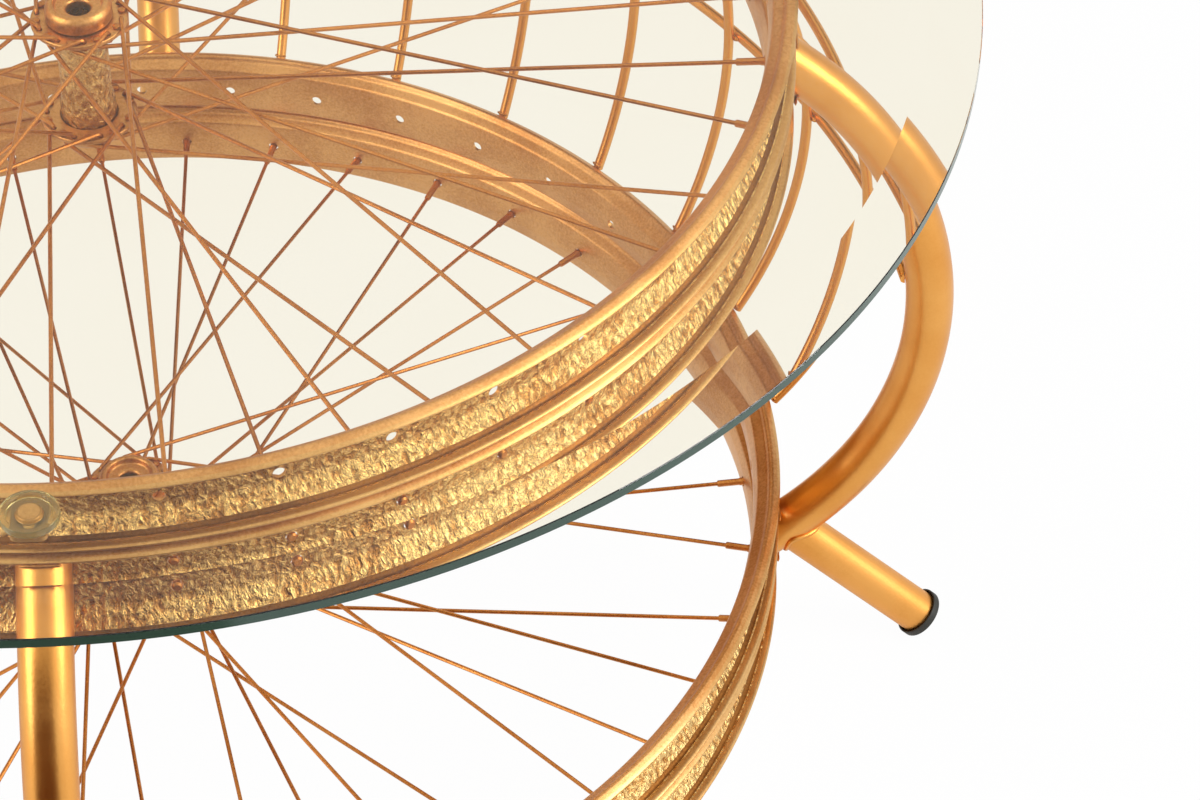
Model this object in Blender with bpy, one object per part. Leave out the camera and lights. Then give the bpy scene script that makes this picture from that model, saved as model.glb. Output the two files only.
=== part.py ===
"""Coffee table of stacked bicycle rims, two laced wheels, bent tube legs and a bevelled glass top."""

import math

import bmesh
import bpy
from mathutils import Matrix, Vector

# Driving dimensions in metres and degrees, with the floor at z = 0
CLEARANCE = 0.0003          # gap kept between pieces that touch

# Rims: pressed steel, with a rolled bead along each edge and one row of spoke holes
SPOKE_HOLES = 40
RIM_LIP_RADIUS = 0.3225     # outer edge of the tyre trough
RIM_LIP_SPACING = 0.0310    # from lip to lip across the trough
RIM_WIDTH = 0.0370          # over both beads
RIM_BEAD_DEPTH = 0.0060     # inner edge of a bead inside the lips
RIM_BED_DEPTH = 0.0115      # bottom of the tyre trough inside the lips
RIM_BED_WIDTH = 0.0090
RIM_SHEET = 0.0016
SPOKE_HOLE_SIZE = 0.0052

# Stacks: a bare rim on each laced rim
LOWER_WHEEL_HEIGHT = 0.0745  # middle of the lower laced rim above the floor
WHEEL_SPACING = 0.2962       # between the two laced rims
LOWER_LACED_TURN = 15.3      # angle of the first spoke hole from the right leg
LOWER_BARE_TURN = 1.4
UPPER_LACED_TURN = 9.5
UPPER_BARE_TURN = 8.9

# Hubs and spokes
HUB_RISE = 0.0085            # middle of the hub above the middle of its rim
FLANGE_SPACING = 0.0550
FLANGE_RADIUS = 0.0220
FLANGE_THICKNESS = 0.0024
SPOKE_CIRCLE_RADIUS = 0.0193
BARREL_RADIUS = 0.01275
BARREL_WALL = 0.0030
CUP_RADIUS = 0.0145
CUP_HEIGHT = 0.0085
CUP_HOLE_RADIUS = 0.0072
CUP_LEDGE_DEPTH = 0.0030
SPOKE_RADIUS = 0.0009
SPOKE_LIFT = 0.0009          # of a spoke's run off its flange's face
SPOKE_CROSSINGS = 4
NIPPLE_RADIUS = 0.0019       # at the rim, from which the nipple tapers to its spoke
NIPPLE_LENGTH = 0.0135
NIPPLE_END = 0.0020          # beyond the middle of the rim's sheet

# Legs and feet
LEG_COUNT = 4
LEG_RADIUS = 0.0115
LEG_SEAT_DEPTH = 0.0005      # of the tube's axis inside the lips, level with a laced rim's middle
LEG_BULGE = 0.0703           # of the tube's axis, out from its seats
FOOT_RADIUS = 0.0110
FOOT_JOIN = 0.0050           # where the foot's axis leaves the leg's, out from the leg's seat
FOOT_SLOPE = 44.3            # below the horizontal
CAP_WALL = 0.0009
CAP_SKIRT = 0.0040
CAP_SHOULDER = 0.0012
CAP_DOME = 0.0038
CAP_FLAT = 0.0006            # depth of the flat that rests on the floor

# Cage in the quarter between the right and the rear leg
CAGE_RODS = 7
CAGE_FIRST_ROD = 7.2
CAGE_ROD_PITCH = 11.75
CAGE_SPAN = 90.0
CAGE_WAIST_DEPTH = 0.0338    # of the middle hoop's axis inside the legs' widest reach
ROD_RADIUS = 0.0026
ROD_TAIL = 0.0030            # weld length beyond a rim's lip
HOOP_RADIUS = 0.0026
UPPER_HOOP_DROP = 0.0408     # below the middle of the upper laced rim

# Glass top and what carries it
GLASS_OVERHANG = 0.0813      # beyond the rims' lips
GLASS_THICKNESS = 0.0080
GLASS_EDGE = 0.0050
GLASS_BEVEL = 0.0250
TAB_WIDTH = 0.0150
TAB_LENGTH = 0.0245
TAB_THICKNESS = 0.0020
TAB_RISE = 0.0003            # top of a tab above the lip
PAD_RADIUS = 0.0122
PAD_HEIGHT = 0.0034
PAD_FLOOR = 0.0016
PAD_RING = 0.0026
PAD_STUD_RADIUS = 0.0050
PAD_CENTRE = 0.0112          # of a pad beyond the rims' lips

# Facets
TURNED_FACETS = 10
HUB_FACETS = 16
GLASS_FACETS = 64
LEG_STEPS = 10
ROD_STEPS = 6
TUBE_BEVEL_STEPS = 2
ROD_BEVEL_STEPS = 1
SPOKE_BEVEL_STEPS = 0

# Colours as linear red, green and blue, with roughness and metallic
FINISHES = {
    "gold_paint": ((0.70, 0.38, 0.10), 0.35, 0.85),
    "brown_steel": ((0.20, 0.09, 0.03), 0.55, 0.70),
    "clear_vinyl": ((0.47, 0.42, 0.16), 0.30, 0.0),
    "black_rubber": ((0.035, 0.035, 0.025), 0.60, 0.0),
    "clear_glass": ((0.80, 0.90, 0.84), 0.03, 0.0),
}

# Places that follow from the driving dimensions
RIM_BEAD_RADIUS = RIM_LIP_RADIUS - RIM_BEAD_DEPTH
RIM_BED_RADIUS = RIM_LIP_RADIUS - RIM_BED_DEPTH
RIM_PITCH = RIM_WIDTH + CLEARANCE
UPPER_WHEEL_HEIGHT = LOWER_WHEEL_HEIGHT + WHEEL_SPACING
LOWER_BARE_HEIGHT = LOWER_WHEEL_HEIGHT + RIM_PITCH
UPPER_BARE_HEIGHT = UPPER_WHEEL_HEIGHT + RIM_PITCH
TOP_LIP_HEIGHT = UPPER_BARE_HEIGHT + RIM_LIP_SPACING / 2
HOLE_STEP = math.tau / SPOKE_HOLES
FACET_SWELL = 2 / (1 + math.cos(HOLE_STEP / 2))   # lets the rim's facets straddle its true circle
LEG_MIDDLE = (LOWER_WHEEL_HEIGHT + UPPER_WHEEL_HEIGHT) / 2
LEG_SEAT_RADIUS = RIM_LIP_RADIUS - LEG_SEAT_DEPTH
LEG_BULGE_RADIUS = LEG_SEAT_RADIUS + LEG_BULGE
CAGE_WAIST_RADIUS = LEG_BULGE_RADIUS - CAGE_WAIST_DEPTH
UPPER_HOOP_HEIGHT = UPPER_WHEEL_HEIGHT - UPPER_HOOP_DROP
GLASS_RADIUS = RIM_LIP_RADIUS + GLASS_OVERHANG
LEG_NAMES = ("right", "rear", "left", "front")


def finish(name):
    """Return the named material, made on first use."""
    known = bpy.data.materials.get(name)
    if known:
        return known
    colour, roughness, metallic = FINISHES[name]
    made = bpy.data.materials.new(name)
    made.use_nodes = True
    shader = made.node_tree.nodes["Principled BSDF"]
    shader.inputs["Base Color"].default_value = (*colour, 1.0)
    shader.inputs["Roughness"].default_value = roughness
    shader.inputs["Metallic"].default_value = metallic
    made.diffuse_color = (*colour, 1.0)
    return made


def add_piece(name, mesh, finish_name, place=None):
    """Add one named piece with its material and its place in the table."""
    mesh.name = name
    mesh.materials.clear()
    mesh.materials.append(finish(finish_name))
    mesh.shade_smooth()
    mesh.set_sharp_from_angle(angle=math.radians(35))
    piece = bpy.data.objects.new(name, mesh)
    piece.matrix_world = place or Matrix()
    bpy.context.collection.objects.link(piece)
    return piece


def add_cutter(name, mesh, place=None):
    """Add a hidden shape that other pieces are cut by or joined with."""
    cutter = bpy.data.objects.new(name, mesh)
    cutter.matrix_world = place or Matrix()
    cutter.hide_render = True
    cutter.display_type = "WIRE"
    bpy.context.collection.objects.link(cutter)
    return cutter


def combine(piece, other, operation):
    """Cut the piece by another shape, or join that shape to it."""
    modifier = piece.modifiers.new(f"{operation.lower()} {other.name}", "BOOLEAN")
    modifier.operation = operation
    modifier.object = other
    modifier.solver = "EXACT"


def finished_mesh(shape):
    """Weld and orient a bmesh, and return it as a mesh."""
    bmesh.ops.remove_doubles(shape, verts=shape.verts, dist=1e-6)
    bmesh.ops.recalc_face_normals(shape, faces=shape.faces)
    mesh = bpy.data.meshes.new("shape")
    shape.to_mesh(mesh)
    shape.free()
    return mesh


def turned_shape(profile, facets, closed, start=0.0):
    """Spin a profile of (radius, height) points about Z; an open one gets flat ends."""
    shape = bmesh.new()
    turn = Matrix.Rotation(start, 4, "Z")
    corners = [shape.verts.new(turn @ Vector((radius, 0, height))) for radius, height in profile]
    pairs = list(zip(corners, corners[1:]))
    if closed:
        pairs.append((corners[-1], corners[0]))
    edges = [shape.edges.new(pair) for pair in pairs]
    bmesh.ops.spin(shape, geom=corners + edges, cent=(0, 0, 0), axis=(0, 0, 1), dvec=(0, 0, 0),
                   angle=math.tau, steps=facets, use_merge=True, use_duplicate=False)
    bmesh.ops.remove_doubles(shape, verts=shape.verts, dist=1e-6)
    if not closed:
        bmesh.ops.holes_fill(shape, edges=shape.edges, sides=facets)
    return shape


def tube_mesh(paths, radius, resolution, swells=None):
    """Sweep a round tube along each path; swells scale its radius point by point."""
    curve = bpy.data.curves.new("route", "CURVE")
    curve.dimensions = "3D"
    curve.bevel_depth = radius
    curve.bevel_resolution = resolution
    curve.use_fill_caps = True
    for path in paths:
        spline = curve.splines.new("POLY")
        spline.points.add(len(path) - 1)
        for index, (point, spot) in enumerate(zip(spline.points, path)):
            point.co = (*spot, 1.0)
            point.radius = swells[index] if swells else 1.0
    guide = bpy.data.objects.new("route", curve)
    shape = bmesh.new()
    shape.from_mesh(guide.to_mesh())
    guide.to_mesh_clear()
    bpy.data.objects.remove(guide)
    return finished_mesh(shape)


def polar(radius, angle, height):
    """Return the point at a radius, an angle in radians and a height."""
    return Vector((radius * math.cos(angle), radius * math.sin(angle), height))


def lifted(height, turn=0.0):
    """Return a place on the table's axis at a height, turned about it."""
    return Matrix.Translation((0, 0, height)) @ Matrix.Rotation(turn, 4, "Z")


def facet_radius(radius, angle, turn):
    """Return how far a faceted rim's surface reaches at an angle."""
    offset = (angle - turn + HOLE_STEP / 2) % HOLE_STEP - HOLE_STEP / 2
    return radius * FACET_SWELL * math.cos(HOLE_STEP / 2) / math.cos(offset)


def mirrored(half):
    """Complete the upper half of a section with its mirror image."""
    return half + [(radius, -height) for radius, height in reversed(half)]


def rim_shape(section):
    """Spin a rim section so that its facets are centred on the spoke holes."""
    swollen = [(radius * FACET_SWELL, height) for radius, height in section]
    return turned_shape(swollen, SPOKE_HOLES, closed=True, start=-HOLE_STEP / 2)


def trough_wall():
    """Return the foot of the tyre trough's side wall."""
    return RIM_BED_RADIUS + 2.5 * RIM_SHEET, RIM_LIP_SPACING / 2 - 2 * RIM_SHEET


def rim_section():
    """Return the closed section of a rim about its middle plane."""
    hub_side = RIM_BED_RADIUS - RIM_SHEET
    bed = RIM_BED_WIDTH / 2
    edge = RIM_WIDTH / 2
    return mirrored([
        (RIM_BED_RADIUS, bed),
        trough_wall(),
        (RIM_LIP_RADIUS, RIM_LIP_SPACING / 2),
        (RIM_BEAD_RADIUS + RIM_SHEET, edge),
        (RIM_BEAD_RADIUS, edge - RIM_SHEET),
        (hub_side + RIM_SHEET, edge - 3.5 * RIM_SHEET),
        (hub_side, bed),
    ][::-1])


def pierce_bed(shape):
    """Open one square-cut spoke hole in the middle of each facet of the bed."""
    bed_faces = [face for face in shape.faces if abs(face.calc_center_median().z) < 1e-6]
    bmesh.ops.inset_individual(shape, faces=bed_faces, thickness=RIM_SHEET)
    half = SPOKE_HOLE_SIZE / 2
    pairs = {}
    for face in bed_faces:
        centre = face.calc_center_median()
        along = Vector((-centre.y, centre.x, 0)).normalized()
        for corner in face.verts:
            side = math.copysign(half, (corner.co - centre).dot(along))
            corner.co = centre + side * along + Vector((0, 0, math.copysign(half, corner.co.z)))
        hole = round(math.atan2(centre.y, centre.x) / HOLE_STEP) % SPOKE_HOLES
        pairs.setdefault(hole, []).append(face)
    rings = [[edge for face in pair for edge in face.edges] for pair in pairs.values()]
    bmesh.ops.delete(shape, geom=bed_faces, context="FACES_ONLY")
    for ring in rings:
        bmesh.ops.bridge_loops(shape, edges=ring)


def add_rim(name, height, turn):
    """Add one rim, bare or laced, with its row of spoke holes."""
    shape = rim_shape(rim_section())
    pierce_bed(shape)
    add_piece(name, finished_mesh(shape), "gold_paint", lifted(height, turn))


def add_trough_cutter(name, height, turn):
    """Add the ring that shapes tube ends to fit between a laced rim's lips."""
    wall_radius, wall_height = trough_wall()
    mouth = RIM_LIP_RADIUS + CLEARANCE
    nipple_ends = RIM_BED_RADIUS - RIM_SHEET / 2 + NIPPLE_END + 3 * CLEARANCE
    block = RIM_WIDTH
    section = mirrored([
        (RIM_BED_RADIUS - 2 * RIM_BED_DEPTH, block),
        (mouth, block),
        (mouth, RIM_LIP_SPACING / 2 - CLEARANCE),
        (wall_radius + CLEARANCE, wall_height - CLEARANCE),
        (nipple_ends, RIM_BED_WIDTH / 2),
    ])
    return add_cutter(name, finished_mesh(rim_shape(section)), lifted(height, turn))


def spoke_path(hole, side, turn):
    """Return a spoke's route from its flange to a rim hole, about the rim's centre."""
    flange_height = HUB_RISE + side * FLANGE_SPACING / 2
    lead = 1 if hole // 2 % 2 else -1
    stagger = FLANGE_THICKNESS / 2 + SPOKE_RADIUS + SPOKE_LIFT
    rim_angle = turn + hole * HOLE_STEP
    hub_angle = rim_angle + lead * SPOKE_CROSSINGS * 2 * HOLE_STEP
    seat = RIM_BED_RADIUS - RIM_SHEET / 2
    rim_end = polar(facet_radius(seat, rim_angle, turn), rim_angle, 0)
    elbow = polar(SPOKE_CIRCLE_RADIUS, hub_angle, flange_height + lead * stagger)
    head = polar(SPOKE_CIRCLE_RADIUS, hub_angle, flange_height)
    run = (rim_end - elbow).normalized()
    nipple = rim_end - run * NIPPLE_LENGTH
    return [head, elbow, nipple, rim_end + run * NIPPLE_END]


def add_laced_flange(name, side, height, turn):
    """Add one hub flange with the half of the spokes that it carries, nipples included."""
    half = FLANGE_THICKNESS / 2
    bore = BARREL_RADIUS + CLEARANCE
    section = [(bore, half), (FLANGE_RADIUS, half), (FLANGE_RADIUS, -half), (bore, -half)]
    disc = finished_mesh(turned_shape(section, HUB_FACETS, closed=True))
    centre = height + HUB_RISE + side * FLANGE_SPACING / 2
    flange = add_piece(name, disc, "gold_paint", lifted(centre))
    first = 0 if side > 0 else 1
    paths = [spoke_path(hole, side, turn) for hole in range(first, SPOKE_HOLES, 2)]
    spokes = tube_mesh(paths, SPOKE_RADIUS, SPOKE_BEVEL_STEPS, (1, 1, 1, NIPPLE_RADIUS / SPOKE_RADIUS))
    combine(flange, add_cutter(f"{name}_lacing", spokes, lifted(height)), "UNION")


def add_hub(prefix, height, turn):
    """Add a hub: its barrel, two laced flanges and two bearing cups."""
    centre = height + HUB_RISE
    half = (FLANGE_SPACING + FLANGE_THICKNESS) / 2
    bore = BARREL_RADIUS - BARREL_WALL
    section = [(bore, half), (BARREL_RADIUS, half), (BARREL_RADIUS, -half), (bore, -half)]
    barrel = finished_mesh(turned_shape(section, HUB_FACETS, closed=True))
    add_piece(f"{prefix}_hub_barrel", barrel, "gold_paint", lifted(centre))
    ledge = CUP_HEIGHT - CUP_LEDGE_DEPTH
    round_off = CUP_LEDGE_DEPTH * 0.7
    cup_section = [
        (CUP_HOLE_RADIUS, 0),
        (CUP_HOLE_RADIUS, ledge),
        (CUP_RADIUS - 2 * round_off, ledge),
        (CUP_RADIUS - 2 * round_off, CUP_HEIGHT),
        (CUP_RADIUS - round_off, CUP_HEIGHT),
        (CUP_RADIUS, CUP_HEIGHT - round_off),
        (CUP_RADIUS, 0),
    ]
    for side, label in ((1, "top"), (-1, "bottom")):
        add_laced_flange(f"{prefix}_{label}_flange_spokes", side, height, turn)
        cup = finished_mesh(turned_shape(cup_section, TURNED_FACETS, closed=True))
        flip = Matrix.Rotation(0 if side > 0 else math.pi, 4, "X")
        seat = centre + side * (half + CLEARANCE)
        add_piece(f"{prefix}_{label}_cup", cup, "gold_paint", lifted(seat) @ flip)


def leg_bend():
    """Return the leg arc's radius and the angle of its ends from the middle."""
    half = WHEEL_SPACING / 2
    return (half ** 2 + LEG_BULGE ** 2) / (2 * LEG_BULGE), 2 * math.atan(LEG_BULGE / half)


def leg_axis(bend):
    """Return the reach and height of the leg's axis at an angle of its bend."""
    radius, _ = leg_bend()
    reach = LEG_BULGE_RADIUS - radius + radius * math.cos(bend)
    return reach, LEG_MIDDLE + radius * math.sin(bend)


def leg_path(angle):
    """Return the leg's axis, run on past the rims so that its ends can be fitted to them."""
    _, end = leg_bend()
    arc = [leg_axis(end * (2 * step / LEG_STEPS - 1)) for step in range(LEG_STEPS + 1)]
    run = 2 * (LEG_SEAT_RADIUS - RIM_BED_RADIUS)
    low, high = arc[0], arc[-1]
    inward, rise = -run * math.sin(end), run * math.cos(end)
    whole = [(low[0] + inward, low[1] - rise), *arc, (high[0] + inward, high[1] + rise)]
    return [polar(reach, angle, height) for reach, height in whole]


def cap_radii():
    """Return a cap's inner and outer radius, with its facets clear of the foot."""
    inner = (FOOT_RADIUS + CLEARANCE) / math.cos(math.pi / TURNED_FACETS)
    return inner, inner + CAP_WALL


def foot_ends(angle):
    """Return where a foot's axis leaves its leg and where it ends under the cap."""
    radius, _ = leg_bend()
    bend = math.acos((FOOT_JOIN - LEG_BULGE + radius) / radius)
    reach, height = leg_axis(-bend)
    slope = math.radians(FOOT_SLOPE)
    _, cap_radius = cap_radii()
    end_height = CAP_SHOULDER * math.sin(slope) + cap_radius * math.cos(slope) - CAP_FLAT
    end_reach = reach + (height - end_height) / math.tan(slope)
    return polar(reach, angle, height), polar(end_reach, angle, end_height)


def add_leg(label, angle, troughs, floor):
    """Add a bent leg, its foot and the foot's end cap; return the leg's cutter."""
    path = leg_path(angle)
    leg = add_piece(f"leg_{label}", tube_mesh([path], LEG_RADIUS, TUBE_BEVEL_STEPS), "gold_paint")
    for trough in troughs:
        combine(leg, trough, "DIFFERENCE")
    grown = tube_mesh([path], LEG_RADIUS + CLEARANCE, TUBE_BEVEL_STEPS)
    leg_cutter = add_cutter(f"leg_{label}_space", grown)
    ends = foot_ends(angle)
    foot = add_piece(f"foot_{label}", tube_mesh([ends], FOOT_RADIUS, TUBE_BEVEL_STEPS), "gold_paint")
    combine(foot, leg_cutter, "DIFFERENCE")
    add_cap(label, angle, ends[1], floor)
    return leg_cutter


def add_cap(label, angle, seat, floor):
    """Add a domed end cap over a foot's end, with a flat where it stands on the floor."""
    inner, outer = cap_radii()
    profile = [
        (inner * 0.5, CLEARANCE),
        (inner, CLEARANCE),
        (inner, -CAP_SKIRT),
        (outer, -CAP_SKIRT),
        (outer, CAP_SHOULDER),
        (outer * 0.75, CAP_DOME * 0.8),
        (outer * 0.35, CAP_DOME),
    ]
    shell = finished_mesh(turned_shape(profile, TURNED_FACETS, closed=False))
    tilt = Matrix.Rotation(math.pi / 2 + math.radians(FOOT_SLOPE), 4, "Y")
    place = Matrix.Translation(seat) @ Matrix.Rotation(angle, 4, "Z") @ tilt
    cap = add_piece(f"cap_{label}", shell, "black_rubber", place)
    combine(cap, floor, "DIFFERENCE")


def add_floor_cutter():
    """Add the block below the floor that flattens the caps."""
    shape = bmesh.new()
    bmesh.ops.create_cube(shape, size=2 * (LEG_BULGE_RADIUS + LOWER_WHEEL_HEIGHT))
    depth = LEG_BULGE_RADIUS + LOWER_WHEEL_HEIGHT
    return add_cutter("floor_space", finished_mesh(shape), Matrix.Translation((0, 0, -depth)))


def add_glass_seat(label, angle):
    """Add the tab on the top rim's lip and the clear pad on it."""
    start = facet_radius(RIM_LIP_RADIUS, angle, math.radians(UPPER_BARE_TURN)) + CLEARANCE
    tab_top = TOP_LIP_HEIGHT + TAB_RISE
    shape = bmesh.new()
    bmesh.ops.create_cube(shape, size=1.0)
    bmesh.ops.scale(shape, vec=(TAB_LENGTH, TAB_WIDTH, TAB_THICKNESS), verts=shape.verts)
    middle = polar(start + TAB_LENGTH / 2, angle, tab_top - TAB_THICKNESS / 2)
    turn = Matrix.Rotation(angle, 4, "Z")
    add_piece(f"glass_tab_{label}", finished_mesh(shape), "brown_steel",
              Matrix.Translation(middle) @ turn)
    profile = [
        (PAD_RADIUS, 0),
        (PAD_RADIUS, PAD_HEIGHT),
        (PAD_RADIUS - PAD_RING, PAD_HEIGHT),
        (PAD_RADIUS - PAD_RING, PAD_FLOOR),
        (PAD_STUD_RADIUS, PAD_FLOOR),
        (PAD_STUD_RADIUS, PAD_HEIGHT),
    ]
    pad = finished_mesh(turned_shape(profile, TURNED_FACETS, closed=False))
    spot = polar(RIM_LIP_RADIUS + PAD_CENTRE, angle, tab_top + CLEARANCE)
    add_piece(f"glass_pad_{label}", pad, "clear_vinyl", Matrix.Translation(spot) @ turn)


def add_glass():
    """Add the round glass top with its flat edge and its bevelled upper face."""
    bottom = TOP_LIP_HEIGHT + TAB_RISE + PAD_HEIGHT + 2 * CLEARANCE
    profile = [
        (GLASS_RADIUS, 0),
        (GLASS_RADIUS, GLASS_EDGE),
        (GLASS_RADIUS - GLASS_BEVEL, GLASS_THICKNESS),
    ]
    disc = finished_mesh(turned_shape(profile, GLASS_FACETS, closed=False))
    add_piece("glass_top", disc, "clear_glass", lifted(bottom))


def rod_ends():
    """Return the heights of the two lips that the cage rods are welded to."""
    low = LOWER_BARE_HEIGHT + RIM_LIP_SPACING / 2
    high = UPPER_WHEEL_HEIGHT - RIM_LIP_SPACING / 2
    return low, high


def hoop_reach(angle):
    """Return the middle hoop's reach: a flat arc from leg to leg past the cage's waist."""
    low, high = rod_ends()
    radius, _ = leg_bend()
    bend = math.asin(((low + high) / 2 - LEG_MIDDLE) / radius)
    end = leg_axis(bend)[0] - LEG_RADIUS / math.cos(bend)
    half_span = math.radians(CAGE_SPAN) / 2
    half_chord = end * math.sin(half_span)
    sag = CAGE_WAIST_RADIUS - end * math.cos(half_span)
    arc = (half_chord ** 2 + sag ** 2) / (2 * sag)
    offset = CAGE_WAIST_RADIUS - arc
    turn = angle - half_span
    return offset * math.cos(turn) + math.sqrt(arc ** 2 - (offset * math.sin(turn)) ** 2)


def rod_bend(angle):
    """Return a cage rod's bulge, arc radius and end angle, with its ends against both lips."""
    low, high = rod_ends()
    half = (high - low) / 2
    bulge = hoop_reach(angle) - HOOP_RADIUS - ROD_RADIUS - CLEARANCE
    lip = max(facet_radius(RIM_LIP_RADIUS, angle, math.radians(turn))
              for turn in (LOWER_BARE_TURN, UPPER_LACED_TURN))
    end = 0.0
    for _ in range(12):
        reach = lip + (ROD_RADIUS + CLEARANCE) / math.cos(end)
        end = 2 * math.atan((bulge - reach) / half)
    return bulge, half / math.sin(end), end


def rod_path(angle):
    """Return a cage rod's axis from the lower stack's top lip to the upper stack's bottom lip."""
    low, high = rod_ends()
    bulge, radius, end = rod_bend(angle)
    bends = [end * (2 * step / ROD_STEPS - 1) for step in range(ROD_STEPS + 1)]
    tail = ROD_TAIL / radius
    bends = [-end - tail, *bends, end + tail]
    return [polar(bulge - radius + radius * math.cos(bend), angle,
                  (low + high) / 2 + radius * math.sin(bend)) for bend in bends]


def rod_angles():
    """Return the angles of the cage rods."""
    return [math.radians(CAGE_FIRST_ROD + CAGE_ROD_PITCH * index) for index in range(CAGE_RODS)]


def hoop_angles():
    """Return the angles along a hoop: its ends, each rod and the middle of each gap."""
    stops = [0.0, *rod_angles(), math.radians(CAGE_SPAN)]
    middles = [(one + two) / 2 for one, two in zip(stops, stops[1:])]
    return sorted(stops + middles)


def upper_hoop_reach(angle):
    """Return the upper hoop's reach, against the outside of the rods."""
    low, high = rod_ends()
    bulge, radius, _ = rod_bend(angle)
    bend = math.asin((UPPER_HOOP_HEIGHT - (low + high) / 2) / radius)
    reach = bulge - radius + radius * math.cos(bend)
    return reach + (HOOP_RADIUS + ROD_RADIUS + CLEARANCE) / math.cos(bend)


def add_cage(leg_cutters):
    """Add the cage's bowed rods and its two hoops."""
    for number, angle in enumerate(rod_angles(), start=1):
        rod = tube_mesh([rod_path(angle)], ROD_RADIUS, ROD_BEVEL_STEPS)
        add_piece(f"cage_rod_{number}", rod, "gold_paint")
    middle = sum(rod_ends()) / 2
    for name, reach, height in (("middle_hoop", hoop_reach, middle),
                                ("upper_hoop", upper_hoop_reach, UPPER_HOOP_HEIGHT)):
        path = [polar(reach(angle), angle, height) for angle in hoop_angles()]
        hoop = add_piece(name, tube_mesh([path], HOOP_RADIUS, ROD_BEVEL_STEPS), "gold_paint")
        for leg_cutter in leg_cutters:
            combine(hoop, leg_cutter, "DIFFERENCE")


def main():
    """Clear the scene and build the table from the floor up."""
    for old in list(bpy.data.objects):
        bpy.data.objects.remove(old)
    lower_turn, upper_turn = math.radians(LOWER_LACED_TURN), math.radians(UPPER_LACED_TURN)
    add_rim("lower_laced_rim", LOWER_WHEEL_HEIGHT, lower_turn)
    add_rim("lower_bare_rim", LOWER_BARE_HEIGHT, math.radians(LOWER_BARE_TURN))
    add_rim("upper_laced_rim", UPPER_WHEEL_HEIGHT, upper_turn)
    add_rim("upper_bare_rim", UPPER_BARE_HEIGHT, math.radians(UPPER_BARE_TURN))
    add_hub("lower", LOWER_WHEEL_HEIGHT, lower_turn)
    add_hub("upper", UPPER_WHEEL_HEIGHT, upper_turn)
    troughs = [
        add_trough_cutter("lower_trough_space", LOWER_WHEEL_HEIGHT, lower_turn),
        add_trough_cutter("upper_trough_space", UPPER_WHEEL_HEIGHT, upper_turn),
    ]
    floor = add_floor_cutter()
    leg_cutters = []
    for index, label in enumerate(LEG_NAMES):
        angle = index * math.tau / LEG_COUNT
        leg_cutters.append(add_leg(label, angle, troughs, floor))
        add_glass_seat(label, angle)
    add_cage(leg_cutters[:2])
    add_glass()


main()
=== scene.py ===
# %% [markdown]
# # A coffee table built from bicycle wheels
#
# Four steel rims stand in two stacks. One rim of each stack still has its spokes and hub.
# Bent tubes join the stacks, straight tubes with rubber caps make the feet, and a bevelled
# glass disc lies loose on four clear pads. Everything but the glass is sprayed gold.
#
# The solid model of the table is loaded first. Each of its solids then gets a finer piece in the
# same place, because a spun rim needs more segments than a solid that is only meant to be measured.

# %% Load the solid model
import math

import bmesh
import bpy
from mathutils import Matrix, Vector, noise


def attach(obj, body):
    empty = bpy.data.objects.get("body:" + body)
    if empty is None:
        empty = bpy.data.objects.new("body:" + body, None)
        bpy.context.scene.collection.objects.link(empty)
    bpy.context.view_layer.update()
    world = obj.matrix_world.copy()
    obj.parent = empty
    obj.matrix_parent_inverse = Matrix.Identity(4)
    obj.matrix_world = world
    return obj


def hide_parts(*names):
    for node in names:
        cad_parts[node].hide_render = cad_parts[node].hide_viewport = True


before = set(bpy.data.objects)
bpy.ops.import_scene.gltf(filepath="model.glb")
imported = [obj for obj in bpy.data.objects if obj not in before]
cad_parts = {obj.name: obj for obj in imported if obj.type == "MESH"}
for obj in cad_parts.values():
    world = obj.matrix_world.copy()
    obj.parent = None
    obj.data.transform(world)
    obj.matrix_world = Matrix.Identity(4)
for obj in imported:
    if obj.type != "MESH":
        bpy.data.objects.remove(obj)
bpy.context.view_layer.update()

# %% [markdown]
# ## Colour and nodes
#
# Colours are written as the hex values that a picture editor shows. Shaders work in linear light,
# so one function converts them. A second one adds a node with its settings and its links, which
# keeps each finish down to a few readable lines.

# %% Colour and node helpers
def linear(hex_colour):
    """Turn an sRGB hex colour into linear red, green, blue and alpha."""
    shares = [int(hex_colour[at:at + 2], 16) / 255 for at in (1, 3, 5)]
    return (*[c / 12.92 if c <= 0.04045 else ((c + 0.055) / 1.055) ** 2.4 for c in shares], 1.0)


def add_node(tree, kind, settings, links=()):
    """Add a node, set its properties or sockets, and link (socket, source) pairs into it."""
    node = tree.nodes.new(kind)
    for name, value in settings.items():
        if isinstance(name, str) and hasattr(node, name):
            setattr(node, name, value)
        else:
            node.inputs[name].default_value = value
    for socket, source in links:
        tree.links.new(source, node.inputs[socket])
    return node


def new_finish(name, roughness, metallic):
    """Start a material and return it with its node tree and its shader."""
    finish = bpy.data.materials.new(name)
    finish.use_nodes = True
    shader = finish.node_tree.nodes["Principled BSDF"]
    shader.inputs["Roughness"].default_value = roughness
    shader.inputs["Metallic"].default_value = metallic
    return finish, finish.node_tree, shader


def per_mm(size):
    """Return the texture scale at which one feature is this many millimetres wide."""
    return 1000 / size


print("gold in linear light:", [round(c, 3) for c in linear("#E3A254")])
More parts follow.
